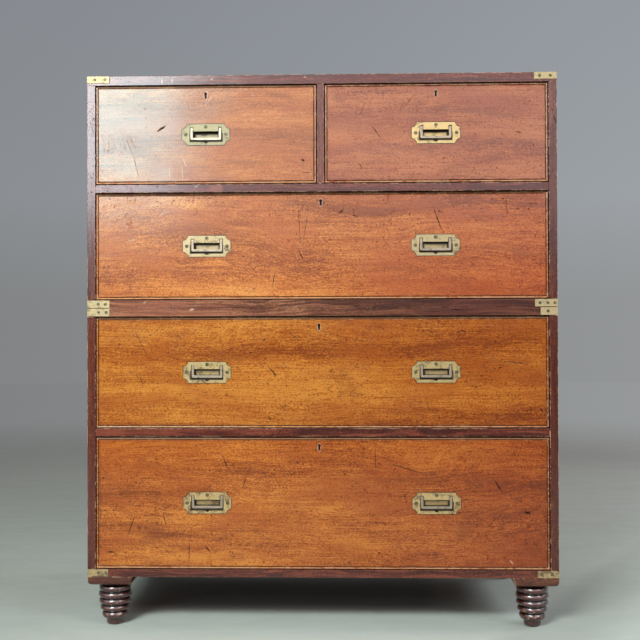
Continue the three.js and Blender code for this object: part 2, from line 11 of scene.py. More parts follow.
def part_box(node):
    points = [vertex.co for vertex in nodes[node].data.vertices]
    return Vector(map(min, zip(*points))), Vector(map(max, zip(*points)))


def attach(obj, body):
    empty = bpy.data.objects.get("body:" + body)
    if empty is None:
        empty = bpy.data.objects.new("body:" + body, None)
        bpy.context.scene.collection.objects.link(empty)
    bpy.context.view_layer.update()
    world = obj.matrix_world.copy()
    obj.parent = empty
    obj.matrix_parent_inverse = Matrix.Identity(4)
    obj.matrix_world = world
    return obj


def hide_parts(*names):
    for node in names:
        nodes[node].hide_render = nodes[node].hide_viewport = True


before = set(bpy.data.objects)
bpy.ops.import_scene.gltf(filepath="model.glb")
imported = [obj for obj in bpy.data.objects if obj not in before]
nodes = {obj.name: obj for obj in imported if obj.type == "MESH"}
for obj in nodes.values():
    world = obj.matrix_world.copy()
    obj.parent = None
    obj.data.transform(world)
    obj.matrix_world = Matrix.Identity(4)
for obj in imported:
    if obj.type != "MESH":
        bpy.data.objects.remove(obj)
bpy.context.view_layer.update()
scene = bpy.context.scene
random.seed(1860)

MM = 0.001
FRONT_PLANE = -0.2285
DRAWER_FACE = -0.2277
FRONT_THICK = 22 * MM
HALF_WIDTH = 0.457

# The bead round a drawer front, the quirk beside it and the soft edge of both, in from the front's edge
BEAD, QUIRK, SOFT = 3.4 * MM, (3.1 * MM, 5 * MM), 0.3 * MM
# Handles: about how far out their middles are, and the window of a plate in which the bail lies
HANDLE_X, WINDOW_HALF, WINDOW_BOTTOM = 0.2232, 31.3 * MM, 13.5 * MM
PAIR = [("left_", -0.2225), ("right_", 0.2225)]

# One row for each drawer: name, height of its handles, keyhole x and z, and its handles' words and x
DRAWERS = [
    ("left_short_drawer", 0.9636, (-0.224, 1.0402), [("", -0.224)]),
    ("right_short_drawer", 0.9636, (0.224, 1.0402), [("", 0.224)]),
    ("upper_long_drawer", 0.7456, (0, 0.8297), PAIR),
    ("lower_long_drawer", 0.49955, (-0.004, 0.5879), PAIR),
    ("bottom_drawer", 0.2458, (-0.004, 0.3539), PAIR),
]

# Old damage, in millimetres on the face: x, z, half length, half width, angle in degrees and kind
# (d dark scratch or dent, p pale scratch, r reddened wood, s stain)
MARKS = {
    "left_short_drawer": [
        (-310.5, 976, 9.5, 1.9, 34, "d"), (-373, 939, 15, 0.32, -67, "d"), (-362, 907, 18, 0.32, -75, "d"),
        (-266, 910, 8.4, 1, -70, "p"), (-295, 886, 11, 0.6, -85, "p"), (-270, 888, 13, 0.6, -86, "p"),
        (-37, 914, 7.4, 2.7, -24, "s"), (-34, 912, 3, 1.6, -24, "d"), (-77, 1038, 38, 6.1, -12, "s"),
        (-28, 888, 8, 0.6, 0, "d"), (-222, 1036, 14, 0.6, 78, "p"), (-216, 1033, 11, 0.5, 60, "p"),
        (-148, 909, 58, 5, -4, "s"),
    ],
    "right_short_drawer": [
        (108, 967, 13, 0.7, -54, "d"), (81, 1009, 17, 0.4, 63, "d"), (171, 1024, 20, 0.35, 51, "d"),
        (77, 901, 6.2, 0.7, -52, "d"), (35, 1032, 13, 7.3, -5, "s"), (383, 963, 4.9, 1, -12, "d"),
        (240, 914, 2, 1.3, 0, "d"), (412, 938, 1.8, 1.3, 0, "d"), (330, 1000, 60, 8, -6, "s"),
    ],
    "upper_long_drawer": [
        (230, 811, 3, 1, -60, "d"), (227, 795, 26, 0.8, -70, "d"), (214, 779, 15, 3, 24, "s"),
        (359, 826, 16, 0.6, -89, "d"), (40, 812, 4.5, 1.3, 40, "d"), (66, 803, 5, 1, -18, "d"),
        (-38, 726, 9, 1.1, -66, "d"), (-92, 680, 13, 0.8, 82, "d"), (-309, 809, 8, 0.8, 30, "p"),
        (-42, 790, 46, 0.5, -87, "d"), (-30, 780, 30, 0.5, 80, "d"), (-370, 758, 7, 0.8, 12, "p"),
        (150, 700, 60, 5, -9, "s"), (370, 735, 80, 6, -11, "s"), (-250, 777, 45, 12, 3, "s"),
    ],
    "lower_long_drawer": [
        (-94, 501, 12, 1.1, -48, "d"), (-264, 557, 2.9, 1.9, 0, "s"), (-48, 566, 16, 0.5, -38, "d"),
        (-352, 486, 13, 0.7, -73, "d"), (-352, 557, 28, 0.6, -65, "d"), (275, 579, 6.1, 1.2, -19, "d"),
        (425, 426, 4.8, 1.1, -53, "d"), (62, 464, 6.5, 1.5, 26, "s"), (416, 407, 8, 1.8, 76, "s"),
        (81, 539, 5.8, 4.8, 0, "s"), (-137, 538, 2.2, 1.6, 0, "d"), (-111, 563, 2, 1.6, 0, "d"),
        (266, 577, 2.2, 1.6, 0, "d"), (338, 558, 2, 1.5, 0, "d"), (346, 508, 2.1, 1.7, 0, "d"),
        (300, 471, 2, 1.5, 0, "d"), (372, 518, 30, 0.6, -8, "d"), (16, 470, 9, 2.4, 8, "s"),
        (-101, 411, 5, 1, -52, "d"),
    ],
    "bottom_drawer": [
        (341, 280, 14, 1.2, -57, "d"), (162, 314, 31, 0.8, -18, "d"), (397, 228, 6.7, 1.9, 0, "d"),
        (-411, 150, 7.8, 1.2, 0, "d"), (-371, 202, 22, 0.7, 71, "d"), (-306, 214, 13, 0.7, -77, "d"),
        (-186, 322, 19, 0.8, -66, "d"), (-222, 157, 6.9, 1.3, -45, "d"), (-149, 287, 12, 0.8, 71, "d"),
        (366, 133, 4.8, 1, -53, "p"), (-432, 247, 7.9, 3.6, 0, "s"), (105, 331, 23, 0.7, -88, "d"),
        (157, 292, 101, 4.8, 0, "s"), (272, 190, 16, 15, -18, "s"), (-433, 256, 2.4, 83, 0, "s"),
        (-258, 150, 20, 0.7, 88, "d"), (-325, 186, 30, 18, 8, "s"), (-222, 262, 48, 14, 0, "s"),
    ],
    "rails": [
        (-207, 859, 12, 7, 0, "r"), (-196, 861, 5, 9, 10, "r"), (-310, 1068, 0.6, 9, 4, "p"),
        (-290, 1070, 0.5, 6, -6, "p"), (-243, 862, 4, 0.8, 20, "p"), (-212, 1072, 3, 0.8, 30, "p"),
        (-30, 1074, 3, 0.9, -30, "p"), (-248, 392, 18, 1.2, 0, "p"),
    ],
    "waist": [
        (-378, 637.5, 34, 3.4, 0, "s"), (-392, 637.5, 16, 3.2, 0, "s"), (-344, 636, 3, 1.2, 30, "p"),
        (-252, 622, 5, 2, 10, "p"), (-120, 631, 6, 2, 4, "s"), (70, 628, 9, 1.4, 3, "d"),
        (262, 620, 12, 1.2, -3, "d"), (110, 637, 14, 1.2, 0, "s"),
    ],
}


def srgb(red, green, blue, levels=(1, 1, 1)):
    """A colour written from 0 to 255, as the linear one that a shader takes, times the levels."""
    shares = [part / 255 for part in (red, green, blue)]
    linear = [s / 12.92 if s <= 0.04045 else ((s + 0.055) / 1.055) ** 2.4 for s in shares]
    return (*(part * level for part, level in zip(linear, levels)), 1)


def scaled(colour, *shares):
    """A colour with its red, green and blue each times a share."""
    return (*(part * share for part, share in zip(colour, shares)), 1)


# ---- camera

PHOTO_SIZE, FOCAL_LENGTH = 640, 979.1  # pixels
CAMERA_PLACE = (0.0514, FRONT_PLANE - 1.9, 0.5835)
CAMERA_ANGLES = (1.609, 0.528, -0.171)  # degrees of turn to the left, lift and roll


def camera():
    """The photograph's view, fitted to the edges, handles and keyholes that it shows."""
    turn, lift, roll = (math.radians(angle) for angle in CAMERA_ANGLES)
    ahead = Vector((-math.sin(turn) * math.cos(lift), math.cos(turn) * math.cos(lift), math.sin(lift)))
    level = Vector((math.cos(turn), math.sin(turn), 0))
    above = level.cross(ahead)
    right = math.cos(roll) * level + math.sin(roll) * above
    up = math.cos(roll) * above - math.sin(roll) * level
    data = bpy.data.cameras.new("photo_camera")
    data.sensor_width = 36
    data.lens = FOCAL_LENGTH / PHOTO_SIZE * data.sensor_width
    data.clip_end = 60
    obj = bpy.data.objects.new("photo_camera", data)
    axes = Matrix((right, up, -ahead)).transposed().to_4x4()
    obj.matrix_world = Matrix.Translation(CAMERA_PLACE) @ axes
    scene.collection.objects.link(obj)
    scene.camera = obj


# ---- material nodes

class Net:
    """Builds a node tree with short calls. An input is another node's output or a plain value."""

    def __init__(self, tree):
        self.tree = tree
        tree.nodes.clear()

    def add(self, kind, inputs, **settings):
        node = self.tree.nodes.new("ShaderNode" + kind)
        for key, value in settings.items():
            setattr(node, key, value)
        for key, value in inputs.items():
            if isinstance(value, bpy.types.NodeSocket):
                self.tree.links.new(value, node.inputs[key])
            else:
                node.inputs[key].default_value = value
        return node

    def math(self, operation, *values):
        return self.add("Math", dict(enumerate(values)), operation=operation).outputs[0]

    def chain(self, operation, first, *others):
        """The operation from value to value."""
        for value in others:
            first = self.math(operation, first, value)
        return first

    def times(self, *values):
        return self.chain("MULTIPLY", *values)

    def most(self, *values):
        return self.chain("MAXIMUM", *values)

    def minus(self, first, second):
        return self.math("SUBTRACT", first, second)

    def times_plus(self, first, second, third):
        return self.math("MULTIPLY_ADD", first, second, third)

    def apart(self, first, second):
        """How far two values are from each other."""
        return self.math("ABSOLUTE", self.minus(first, second))

    def vector(self, operation, *inputs, output=0):
        return self.add("VectorMath", dict(enumerate(inputs)), operation=operation).outputs[output]

    def parts(self, vector):
        """The x, y and z of a vector."""
        return self.add("SeparateXYZ", {0: vector}).outputs

    def joined(self, x=0.0, y=0.0, z=0.0):
        return self.add("CombineXYZ", {0: x, 1: y, 2: z}).outputs[0]

    def grey(self, level):
        return self.add("CombineColor", {0: level, 1: level, 2: level}).outputs[0]

    def surface(self):
        """The direction in which the surface faces."""
        return self.add("NewGeometry", {}).outputs["True Normal"]

    def sized(self, vector, size, shift=(0, 0, 0), turn=(0, 0, 0)):
        """The vector in steps of size metres, one or three, after a shift and a turn."""
        size = size if isinstance(size, tuple) else (size,) * 3
        inputs = {"Vector": vector, "Location": shift, "Rotation": turn, "Scale": size}
        return self.add("Mapping", inputs, vector_type="TEXTURE").outputs[0]

    def noise(self, vector, size, shift=(0, 0, 0), detail=3.0, roughness=0.55, distortion=0.0, turn=(0, 0, 0)):
        """Soft noise with features of about size metres."""
        inputs = dict(Vector=self.sized(vector, size, shift, turn), Scale=1.0, Detail=detail)
        inputs.update(Roughness=roughness, Distortion=distortion)
        return self.add("TexNoise", inputs).outputs[0]

    def ramp(self, value, start, end, low=0.0, high=1.0):
        inputs = {"Value": value, "From Min": start, "From Max": end, "To Min": low, "To Max": high}
        return self.add("MapRange", inputs, interpolation_type="SMOOTHSTEP").outputs[0]

    def colours(self, value, *stops):
        node = self.add("ValToRGB", {"Fac": value})
        elements = node.color_ramp.elements
        while len(elements) < len(stops):
            elements.new(0.5)
        for element, (place, colour) in zip(elements, stops):
            element.position = place
            element.color = colour
        return node.outputs[0]

    def mix(self, share, first, second, blend="MIX"):
        inputs = {0: share, 6: first, 7: second}
        return self.add("Mix", inputs, data_type="RGBA", blend_type=blend).outputs[2]

    def bump(self, height, distance, normal=None):
        inputs = {"Height": height, "Distance": distance, "Strength": 1.0}
        if normal is not None:
            inputs["Normal"] = normal
        return self.add("Bump", inputs).outputs[0]

    def finish(self, **inputs):
        shader = self.add("BsdfPrincipled", {key.replace("_", " "): v for key, v in inputs.items()})
        self.add("OutputMaterial", {"Surface": shader.outputs[0]})


def new_material(name):
    """A material, the net of its nodes, and the place on the piece."""
    material = bpy.data.materials.new(name)
    material.use_nodes = True
    net = Net(material.node_tree)
    where = net.add("TexCoord", {}).outputs["Object"]
    return material, net, where


def swapped(net, where, along):
    """The place with the grain's direction first."""
    parts = net.parts(where)
    order = {"x": (0, 1, 2), "y": (1, 0, 2), "z": (2, 1, 0)}[along]
    return net.joined(*(parts[k] for k in order))


# ---- wood

# Near-black for the painted shadow round drawer fronts, and for dirt and painted shadow round the plates
GRIME_AND_SHADE_BLACK = srgb(8, 5, 4)
BEHIND_FACE = (-0.222, -0.2)  # y over which the face of a board ends


def grain_tone(net, grain, shift, streaky, band):
    """How pale the wood is, about 0.5, and its fibres alone."""
    layers = [  # weight, size, and the noise's detail, roughness and distortion
        (0.27, (0.5, 0.12, 0.075), (3, 0.5, 0.5)),  # figure
        (streaky, band, (3, 0.5)),
        (0.19, (0.13, 0.0036, 0.0025), (2, 0.6)),  # lines
        (0.1, (0.03, 0.01, 0.01), (4, 0.7, 0.3)),  # mottle
        (0.22, (0.0036, 0.0023, 0.0021), (1, 0.6)),  # fibres
    ]
    tone = 0.5 - 0.5 * sum(weight for weight, *_ in layers)
    for weight, size, texture in layers:
        field = net.noise(grain, size, shift, *texture)
        tone = net.times_plus(field, weight, tone)
    return tone, field


def ragged_place(net, where):
    """The place shifted a little each way, so that marks aren't clean shapes."""
    drift = net.add("TexNoise", {"Vector": net.sized(where, 4 * MM), "Scale": 1.0}).outputs[1]
    return net.vector("MULTIPLY_ADD", net.vector("SUBTRACT", drift, (0.5,) * 3), (3 * MM,) * 3, where)


def knocks(net, ragged, blotches):
    """Dents: the middles of chance cells of a pattern on the face, more of them in the blotches."""
    x, y, z = net.parts(ragged)
    across = net.math("DIVIDE", net.math("ADD", x, y), 10.5 * MM)
    upward = net.math("DIVIDE", net.times_plus(y, 0.7, z), 9 * MM)
    inputs = {"Vector": net.joined(across, upward), "Scale": 1.0}
    cells = net.add("TexVoronoi", inputs, voronoi_dimensions="2D").outputs
    chance = net.add("SeparateColor", {0: cells["Color"]}).outputs
    chosen = net.math("GREATER_THAN", net.times_plus(blotches, 1.4, chance[0]), 1.38)
    width = net.ramp(net.math("POWER", chance[1], 3.0), 0, 1, 0.08, 0.22)
    away = net.math("DIVIDE", cells["Distance"], width)
    return net.times(net.ramp(away, 0.35, 1, 1, 0), chosen)


def scratches(net, where, turn, size, shift, low):
    """Thin lines across the xz plane: contours of a stretched noise, kept only in patches."""
    field = net.noise(where, size, shift, 0, turn=(0, turn, 0))
    line = net.ramp(net.apart(field, 0.5), 0, 0.018, 1, 0)
    patch = net.ramp(net.noise(where, 0.05, shift, 1), low, low + 0.1)
    return net.times(line, patch)


def marked(net, ragged, marks, kind, soft):
    """How far a place lies inside any mark of a kind, each an ellipse on the face."""
    total = 0.0
    for x, z, length, width, angle, sort in marks:
        if sort == kind:
            place, size = (x * MM, 0, z * MM), (length * MM, 10, width * MM)
            local = net.sized(ragged, size, place, (0, math.radians(-angle), 0))
            reach = net.vector("LENGTH", local, output="Value")
            total = net.most(net.ramp(reach, soft, 1.5, 1, 0), total)
    return total


def with_marks(net, colour, ragged, marks, deep):
    """The colour with its marks, and how far a place lies in a gouge."""
    stain, gouge = marked(net, ragged, marks, "s", 0.2), marked(net, ragged, marks, "d", 0.5)
    reddened, pale = marked(net, ragged, marks, "r", 0.2), marked(net, ragged, marks, "p", 0.5)
    for mark, share, shade in ((stain, 0.5, deep), (gouge, 0.97, srgb(40, 20, 15)),
                               (reddened, 0.4, srgb(160, 86, 66)), (pale, 0.45, srgb(236, 206, 180))):
        colour = net.mix(net.times(mark, share), colour, shade)
    return colour, gouge


def plate_dirt_and_shadow(net, where, handles):
    """Where a place is beside a handle plate with hollow corners, round which dirt has gathered and a painted shadow
    of the plate lies.
    """
    parts = net.parts(where)
    half, high, beyond, radius = 46.5 * MM, 20.5 * MM, 3 * MM, 13.5 * MM
    total = 0.0
    for x, z in handles:
        across, upward = net.apart(parts[0], x), net.apart(parts[2], z)
        middle = (half + beyond, high + beyond, 0)
        hollow = net.vector("DISTANCE", net.joined(across, upward), middle, output="Value")
        off = net.most(net.minus(across, half), net.minus(upward, high), net.minus(radius, hollow))
        total = net.most(net.ramp(off, 0.6 * MM, 1.9 * MM, 1, 0), total)
    return total


def edged(net, colour, where, panel, top_shadow, top_wear, handles, shift, dark):
    """The border of a drawer front: dirt, the worn bead, dirt and painted shade in the quirk, a painted shadow along
    the outer edge and the top, and dirt with a painted shadow round the plates; and how dull these are.
    """
    low, high = panel
    parts = net.parts(where)
    gaps = []
    for axis in (0, 2):
        middle, half = (low[axis] + high[axis]) / 2, (high[axis] - low[axis]) / 2
        gaps.append(net.minus(half, net.apart(parts[axis], middle)))
    edge = net.math("MINIMUM", *gaps)
    lowness = net.ramp(parts[2], low[2], low[2] + 20 * MM, 1, 0)
    shaded = net.ramp(parts[2], high[2] - top_shadow - 0.5 * MM, high[2] - top_shadow)
    top = net.math("GREATER_THAN", parts[2], high[2] - 4 * MM)
    chips = net.noise(where, (0.011, 0.01, 0.004), shift, 4, 0.7)
    grime = net.times(net.ramp(edge, 3.5 * MM, 10 * MM, 0.3, 0), net.ramp(chips, 0.3, 0.65))
    colour = net.mix(grime, colour, dark)
    bead = net.ramp(edge, BEAD - SOFT, BEAD + SOFT, 1, 0)
    worn = net.times_plus(top, top_wear, net.times_plus(lowness, 0.1, chips))
    colour = net.mix(net.times(bead, net.ramp(worn, 0.47, 0.62), 0.7), colour, srgb(214, 162, 126))
    # Dirt and painted shade darken the quirk's groove
    inner, outer = (net.ramp(edge, side - SOFT, side + SOFT) for side in QUIRK)
    quirk = net.times(inner, net.minus(1, outer))
    colour = net.mix(net.times(quirk, 0.8), colour, dark)
    # Painted shadow: black along the front's outer edge and in a band along its top, where shade falls
    rim = net.most(net.ramp(edge, 0.2 * MM, 0.5 * MM, 0.9, 0), net.times(shaded, 0.95))
    colour = net.mix(rim, colour, GRIME_AND_SHADE_BLACK)
    # Dirt and a painted shadow round the plates
    colour = net.mix(net.times(plate_dirt_and_shadow(net, where, handles), 0.85), colour, GRIME_AND_SHADE_BLACK)
    return colour, net.most(rim, quirk, net.times(bead, lowness, 0.75))


def rubbed(net):
    """Where an arris is near."""
    rounded = net.add("Bevel", {"Radius": 1.6 * MM}, samples=4).outputs[0]
    same = net.vector("DOT_PRODUCT", rounded, net.surface(), output="Value")
    return net.ramp(same, 0.82, 0.995, 1, 0)


def wood(name, deep, middle, pale, along="x", seed=0.0, gloss=0.14, dents=1.0, spread=1.0, streaky=0.1,
         panel=None, marks=(), wear=None, handles=(), tint=(1, 1, 1), right_shade=None, band=(1.2, 0.04, 0.026),
         top_shadow=1.5 * MM, right_shade_span=(-0.25, 0.5), top_wear=0.0):
    """Old polished mahogany: figure, streaks, pores, dents and scratches, in a worn varnish; where asked, darkened
    towards the right as painted shade, and with dirt and painted shadow round a drawer front's border.
    """
    material, net, where = new_material(name)
    grain = swapped(net, where, along)
    shift = (seed, seed * 0.37, seed * 0.61)
    bow = net.times(net.minus(net.noise(grain, (0.33, 0.14, 0.14), shift, 2), 0.5), 0.07)
    grain = net.vector("ADD", grain, net.joined(0.0, bow, bow))
    tone, fibres = grain_tone(net, grain, shift, streaky, band)
    reach = 0.066 / spread
    colour = net.colours(tone, (0.5 - reach, deep), (0.5, middle), (0.5 + reach, pale))
    clouds = net.noise(grain, (0.17, 0.08, 0.06), (seed + 5, 2, 1), 3, 0.6)
    colour = net.mix(net.ramp(clouds, 0.42, 0.68, 0, 0.6), colour, scaled(middle, 0.86, 0.72, 0.95))
    # Painted shade: the colour darkens towards the right end, as less light falls there, and in full on faces behind
    # the front
    if right_shade:
        x, y, _ = net.parts(where)
        share = net.most(net.ramp(x, *right_shade_span), net.ramp(y, *BEHIND_FACE))
        colour = net.mix(share, colour, (*right_shade, 1), "MULTIPLY")

    dark = scaled(deep, 0.3, 0.2, 0.2)
    blotches = net.noise(grain, (0.1, 0.05, 0.05), shift, 4, 0.65)
    pores = net.noise(grain, (0.0052, 0.0026, 0.0026), shift, 1)
    pore = net.ramp(blotches, 0.35, 0.65, 0.35 * dents, 0.95 * dents)
    pore = net.times(net.ramp(pores, 0.61, 0.72), pore)
    colour = net.mix(pore, colour, dark)
    colour = net.mix(net.ramp(blotches, 0.55, 0.76, 0, 0.5), colour, deep)

    ragged = ragged_place(net, where)
    dent = knocks(net, ragged, blotches)
    scratch = net.most(scratches(net, where, 1.25, (0.09, 0.02, 0.0045), shift, 0.57),
                         scratches(net, where, 1.85, (0.06, 0.02, 0.004), (seed + 3, 1, 2), 0.59))
    light = scratches(net, where, 0.5, (0.08, 0.02, 0.004), (seed + 7, 4, 1), 0.58)
    for damage, share, shade in ((dent, 0.9, dark), (scratch, 0.45, dark), (light, 0.4, pale)):
        colour = net.mix(net.times(damage, share * dents), colour, shade)
    cut = net.most(scratch, dent)
    dull = net.times(cut, dents)
    if marks:
        colour, gouge = with_marks(net, colour, ragged, marks, deep)
        cut, dull = net.most(cut, gouge), net.most(dull, gouge)
    if panel:
        colour, border = edged(net, colour, where, panel, top_shadow, top_wear, handles, shift, dark)
        dull = net.most(dull, border)
    if wear:
        torn = net.noise(grain, (0.02, 0.006, 0.006), shift, 5, 0.75)
        amount = net.times_plus(net.noise(where, 3.5 * MM, shift, 2), 0.5, net.times(torn, 0.7))
        amount = net.times(net.ramp(amount, 0.58, 0.7), rubbed(net))
        colour = net.mix(net.times(amount, 0.8), colour, wear)
        spots = net.noise(where, 6 * MM, (seed, 3, 5), 2)
        colour = net.mix(net.ramp(spots, 0.74, 0.78, 0, 0.6), colour, wear)

    normal = net.bump(net.noise(grain, (0.16, 0.035, 0.035), shift, 2), 0.12 * MM)
    relief = net.minus(net.minus(fibres, net.times(pore, 1.4)), net.times(cut, 2.0))
    normal = net.bump(relief, 0.02 * MM, normal)
    normal = net.bump(net.minus(1, cut), 0.04 * MM, normal)
    dusty = net.ramp(net.parts(net.surface())[2], 0.5, 0.9)
    rough = net.times_plus(pore, 0.2, net.ramp(blotches, 0.3, 0.7, gloss - 0.02, gloss + 0.03))
    rough = net.times_plus(dusty, 0.36, net.times_plus(cut, 0.3, rough))
    dull = net.times(net.most(dull, net.times(pore, 0.7 * dents), dusty), 0.95)
    shine = net.mix(dull, (*tint, 1), (0, 0, 0, 1))
    net.finish(Base_Color=colour, Roughness=rough, Normal=normal, Specular_Tint=shine)
    return material


def arris(name, dark, pale, share=0.5):
    """Worn edges: the varnish is rubbed through in places."""
    material, net, where = new_material(name)
    nicks = net.noise(where, 4 * MM, detail=2)
    amount = net.times_plus(nicks, 0.4, net.times(net.noise(where, 20 * MM, detail=4, roughness=0.7), 0.8))
    colour = net.mix(net.ramp(amount, 0.74 - 0.3 * share, 0.82 - 0.3 * share), dark, pale)
    net.finish(Base_Color=colour, Roughness=net.ramp(nicks, 0.3, 0.7, 0.35, 0.6), Specular_IOR_Level=0.2)
    return material


def raw_wood(name, deep, pale, along):
    """Unpolished softer wood of linings and back boards; a drawer's back board has its grain across."""
    material, net, where = new_material(name)
    grain = swapped(net, where, along)
    if along == "y":
        across = net.math("GREATER_THAN", net.math("ABSOLUTE", net.parts(net.surface())[1]), 0.7)
        grain = net.mix(across, grain, swapped(net, where, "x"))
    bands = net.noise(grain, (0.4, 0.03, 0.03), detail=4, roughness=0.6, distortion=0.5)
    lines = net.noise(grain, (0.09, 0.0022, 0.0022), detail=3, roughness=0.65)
    tone = net.times_plus(lines, 0.45, net.times(bands, 0.55))
    colour = net.colours(tone, (0.38, deep), (0.62, pale))
    grime = net.noise(where, 0.12, detail=5, roughness=0.7)
    colour = net.mix(net.ramp(grime, 0.52, 0.75, 0, 0.5), colour, deep)
    rough = net.ramp(lines, 0.3, 0.7, 0.55, 0.75)
    net.finish(Base_Color=colour, Roughness=rough, Normal=net.bump(lines, 0.3 * MM))
    return material


# ---- metal

def handle_dirt_and_shade(net, where, level):
    """Painted shade, with some dirt, on a handle's pan at a level, near its top and ends, and a painted shadow on
    the plate's face beside the bail.
    """
    x, y, z = net.parts(where)
    off = net.apart(net.math("ABSOLUTE", x), HANDLE_X)
    deep = net.ramp(y, DRAWER_FACE + 2 * MM, DRAWER_FACE + 3.5 * MM)
    rise = net.apart(z, level - 1.2 * MM)
    # Painted shade, with some dirt, on the pan's back near its top and ends
    rim = net.most(net.ramp(off, 19.8 * MM, 24 * MM), net.ramp(rise, 2.4 * MM, 5 * MM))
    beside = net.most(net.minus(off, WINDOW_HALF), net.minus(level - WINDOW_BOTTOM, z))
    below = net.math("GREATER_THAN", level + 3 * MM, z)
    # A painted shadow on the plate's face beside and below the bail's window
    line = net.times(net.ramp(beside, 0.9 * MM, 1.9 * MM, 0.9, 0), below)
    return net.most(net.times(rim, deep, 0.96), net.times(line, net.minus(1, deep)))


def brass(name, clean, aged, tarnish=0.5, roughness=0.42, seed=0.0, level=None):
    """Old brass under a dull patina, rubbed to bare metal in places, darkened in its hollows by tarnish and painted
    shade, and round a handle's pan by painted shade.
    """
    material, net, where = new_material(name)
    shift = (seed, seed, seed)
    patches = net.noise(where, 16 * MM, shift, 5, 0.68)
    specks = net.noise(where, 2.2 * MM, shift, 2)
    wiped = net.noise(where, (0.03, 0.0008, 0.0008), shift, 2)
    share = net.times_plus(specks, 0.3, net.times(patches, 0.7))
    share = net.ramp(share, 0.62 - 0.26 * tarnish, 0.78 - 0.26 * tarnish)
    black = scaled(aged, 0.16, 0.16, 0.16)
    colour = net.mix(share, clean, aged)
    colour = net.mix(net.ramp(specks, 0.66, 0.78, 0, 0.7), colour, black)
    # Tarnish and painted shade: the colour darkens where the surface is hemmed in, in hollows and corners
    inputs = {"Distance": 9 * MM, "Color": (1, 1, 1, 1)}
    open_share = net.add("AmbientOcclusion", inputs, samples=8).outputs["AO"]
    corner = net.ramp(net.times_plus(patches, 0.3, open_share), 0.55, 1.0, 0.8, 0)
    if level is not None:
        corner = net.most(corner, handle_dirt_and_shade(net, where, level))
    colour = net.mix(corner, colour, black)
    rough = net.ramp(wiped, 0.3, 0.7, roughness - 0.05, roughness + 0.07)
    relief = net.times_plus(wiped, 0.5, specks)
    net.finish(Base_Color=colour, Metallic=net.ramp(share, 0, 1, 0.5, 0.25),
                 Roughness=net.times_plus(share, 0.12, rough), Normal=net.bump(relief, 0.05 * MM))
    return material


def iron(name):
    """Rusted iron."""
    material, net, where = new_material(name)
    rust = net.noise(where, 6 * MM, detail=4, roughness=0.7)
    colour = net.colours(rust, (0.4, srgb(18, 16, 15)), (0.7, srgb(46, 34, 27)))
    net.finish(Base_Color=colour, Roughness=0.7, Normal=net.bump(rust, 0.2 * MM))
    return material


# ---- palette

# For each drawer front: its dark, middle and pale wood, the colour that its right end is darkened to as painted
# shade, the height in mm of the painted shadow along its top edge, how worn the top of its bead is, how far dents
# and pores show and how its tones spread
FRONT_LOOKS = {
    "left_short_drawer": ((136, 67, 36), (184, 102, 55), (208, 131, 77), (0.89, 0.75, 0.69), 1.8, 0.2, 0.3, 0.78),
    "right_short_drawer": ((126, 57, 36), (164, 84, 51), (189, 109, 68), (0.92, 0.84, 0.88), 1.4, 0.05, 0.65, 0.95),
    "upper_long_drawer": ((148, 73, 36), (200, 115, 57), (226, 150, 82), (0.7, 0.43, 0.34), 2.2, 0.05, 1, 0.95),
    "lower_long_drawer": ((132, 60, 20), (178, 99, 34), (208, 134, 56), (0.8, 0.64, 0.48), 1.9, 0.6, 1, 1),
    "bottom_drawer": ((126, 56, 16), (176, 89, 28), (208, 126, 48), (0.71, 0.5, 0.45), 1.4, 0.55, 1, 1),
}
# For each drawer's plates: the levels of their colours, lightened or darkened as painted light for how much light
# falls on them, and how tarnished they are
PLATE_SHADE_AND_TARNISH = {
    "left_short_drawer": ((0.36, 0.4, 0.44), 0.36),
    "right_short_drawer": ((0.97, 0.88, 0.8), 0.46),
    "upper_long_drawer": ((0.72, 0.72, 0.77), 0.46),
    "lower_long_drawer": ((0.76, 0.73, 0.64), 0.6),
    "bottom_drawer": ((0.93, 0.87, 0.79), 0.62),
}
FRONTS, PLATES = {}, {}


def drawer_materials():
    """The wood of each drawer front, with a pale ring round its keyhole, and the brass of its plates, lightened or
    darkened for each drawer as painted light.
    """
    for index, (name, level, (key_x, key_z), handles) in enumerate(DRAWERS):
        *tones, right_shade, top_shadow, top_wear, dents, spread = FRONT_LOOKS[name]
        ring = (key_x / MM, key_z / MM, 7.4, 3.2, 90, "p")
        FRONTS[name] = wood(
            f"{name}_mahogany", *(srgb(*tone) for tone in tones), seed=1.7 * index + 0.4, dents=dents, spread=spread,
            panel=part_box(f"{name}_front"), marks=[*MARKS[name], ring], handles=[(x, level) for _, x in handles],
            tint=(0.42, 1, 1), right_shade=right_shade, top_shadow=top_shadow * MM, top_wear=top_wear,
        )
        levels, tarnish = PLATE_SHADE_AND_TARNISH[name]
        PLATES[name] = brass(f"{name}_plate_brass", srgb(186, 164, 118, levels), srgb(108, 84, 54, levels), tarnish,
                             seed=1.3 * index, level=level)


drawer_materials()
SHELLAC = {"gloss": 0.15, "tint": (1, 0.99, 0.99), "wear": srgb(214, 166, 136)}
RAIL = wood("rail_mahogany", srgb(58, 19, 12), srgb(93, 38, 26), srgb(132, 65, 46), seed=11.3, dents=0.6,
            streaky=0.4, band=(0.5, 0.01, 0.006), marks=MARKS["rails"], **SHELLAC)
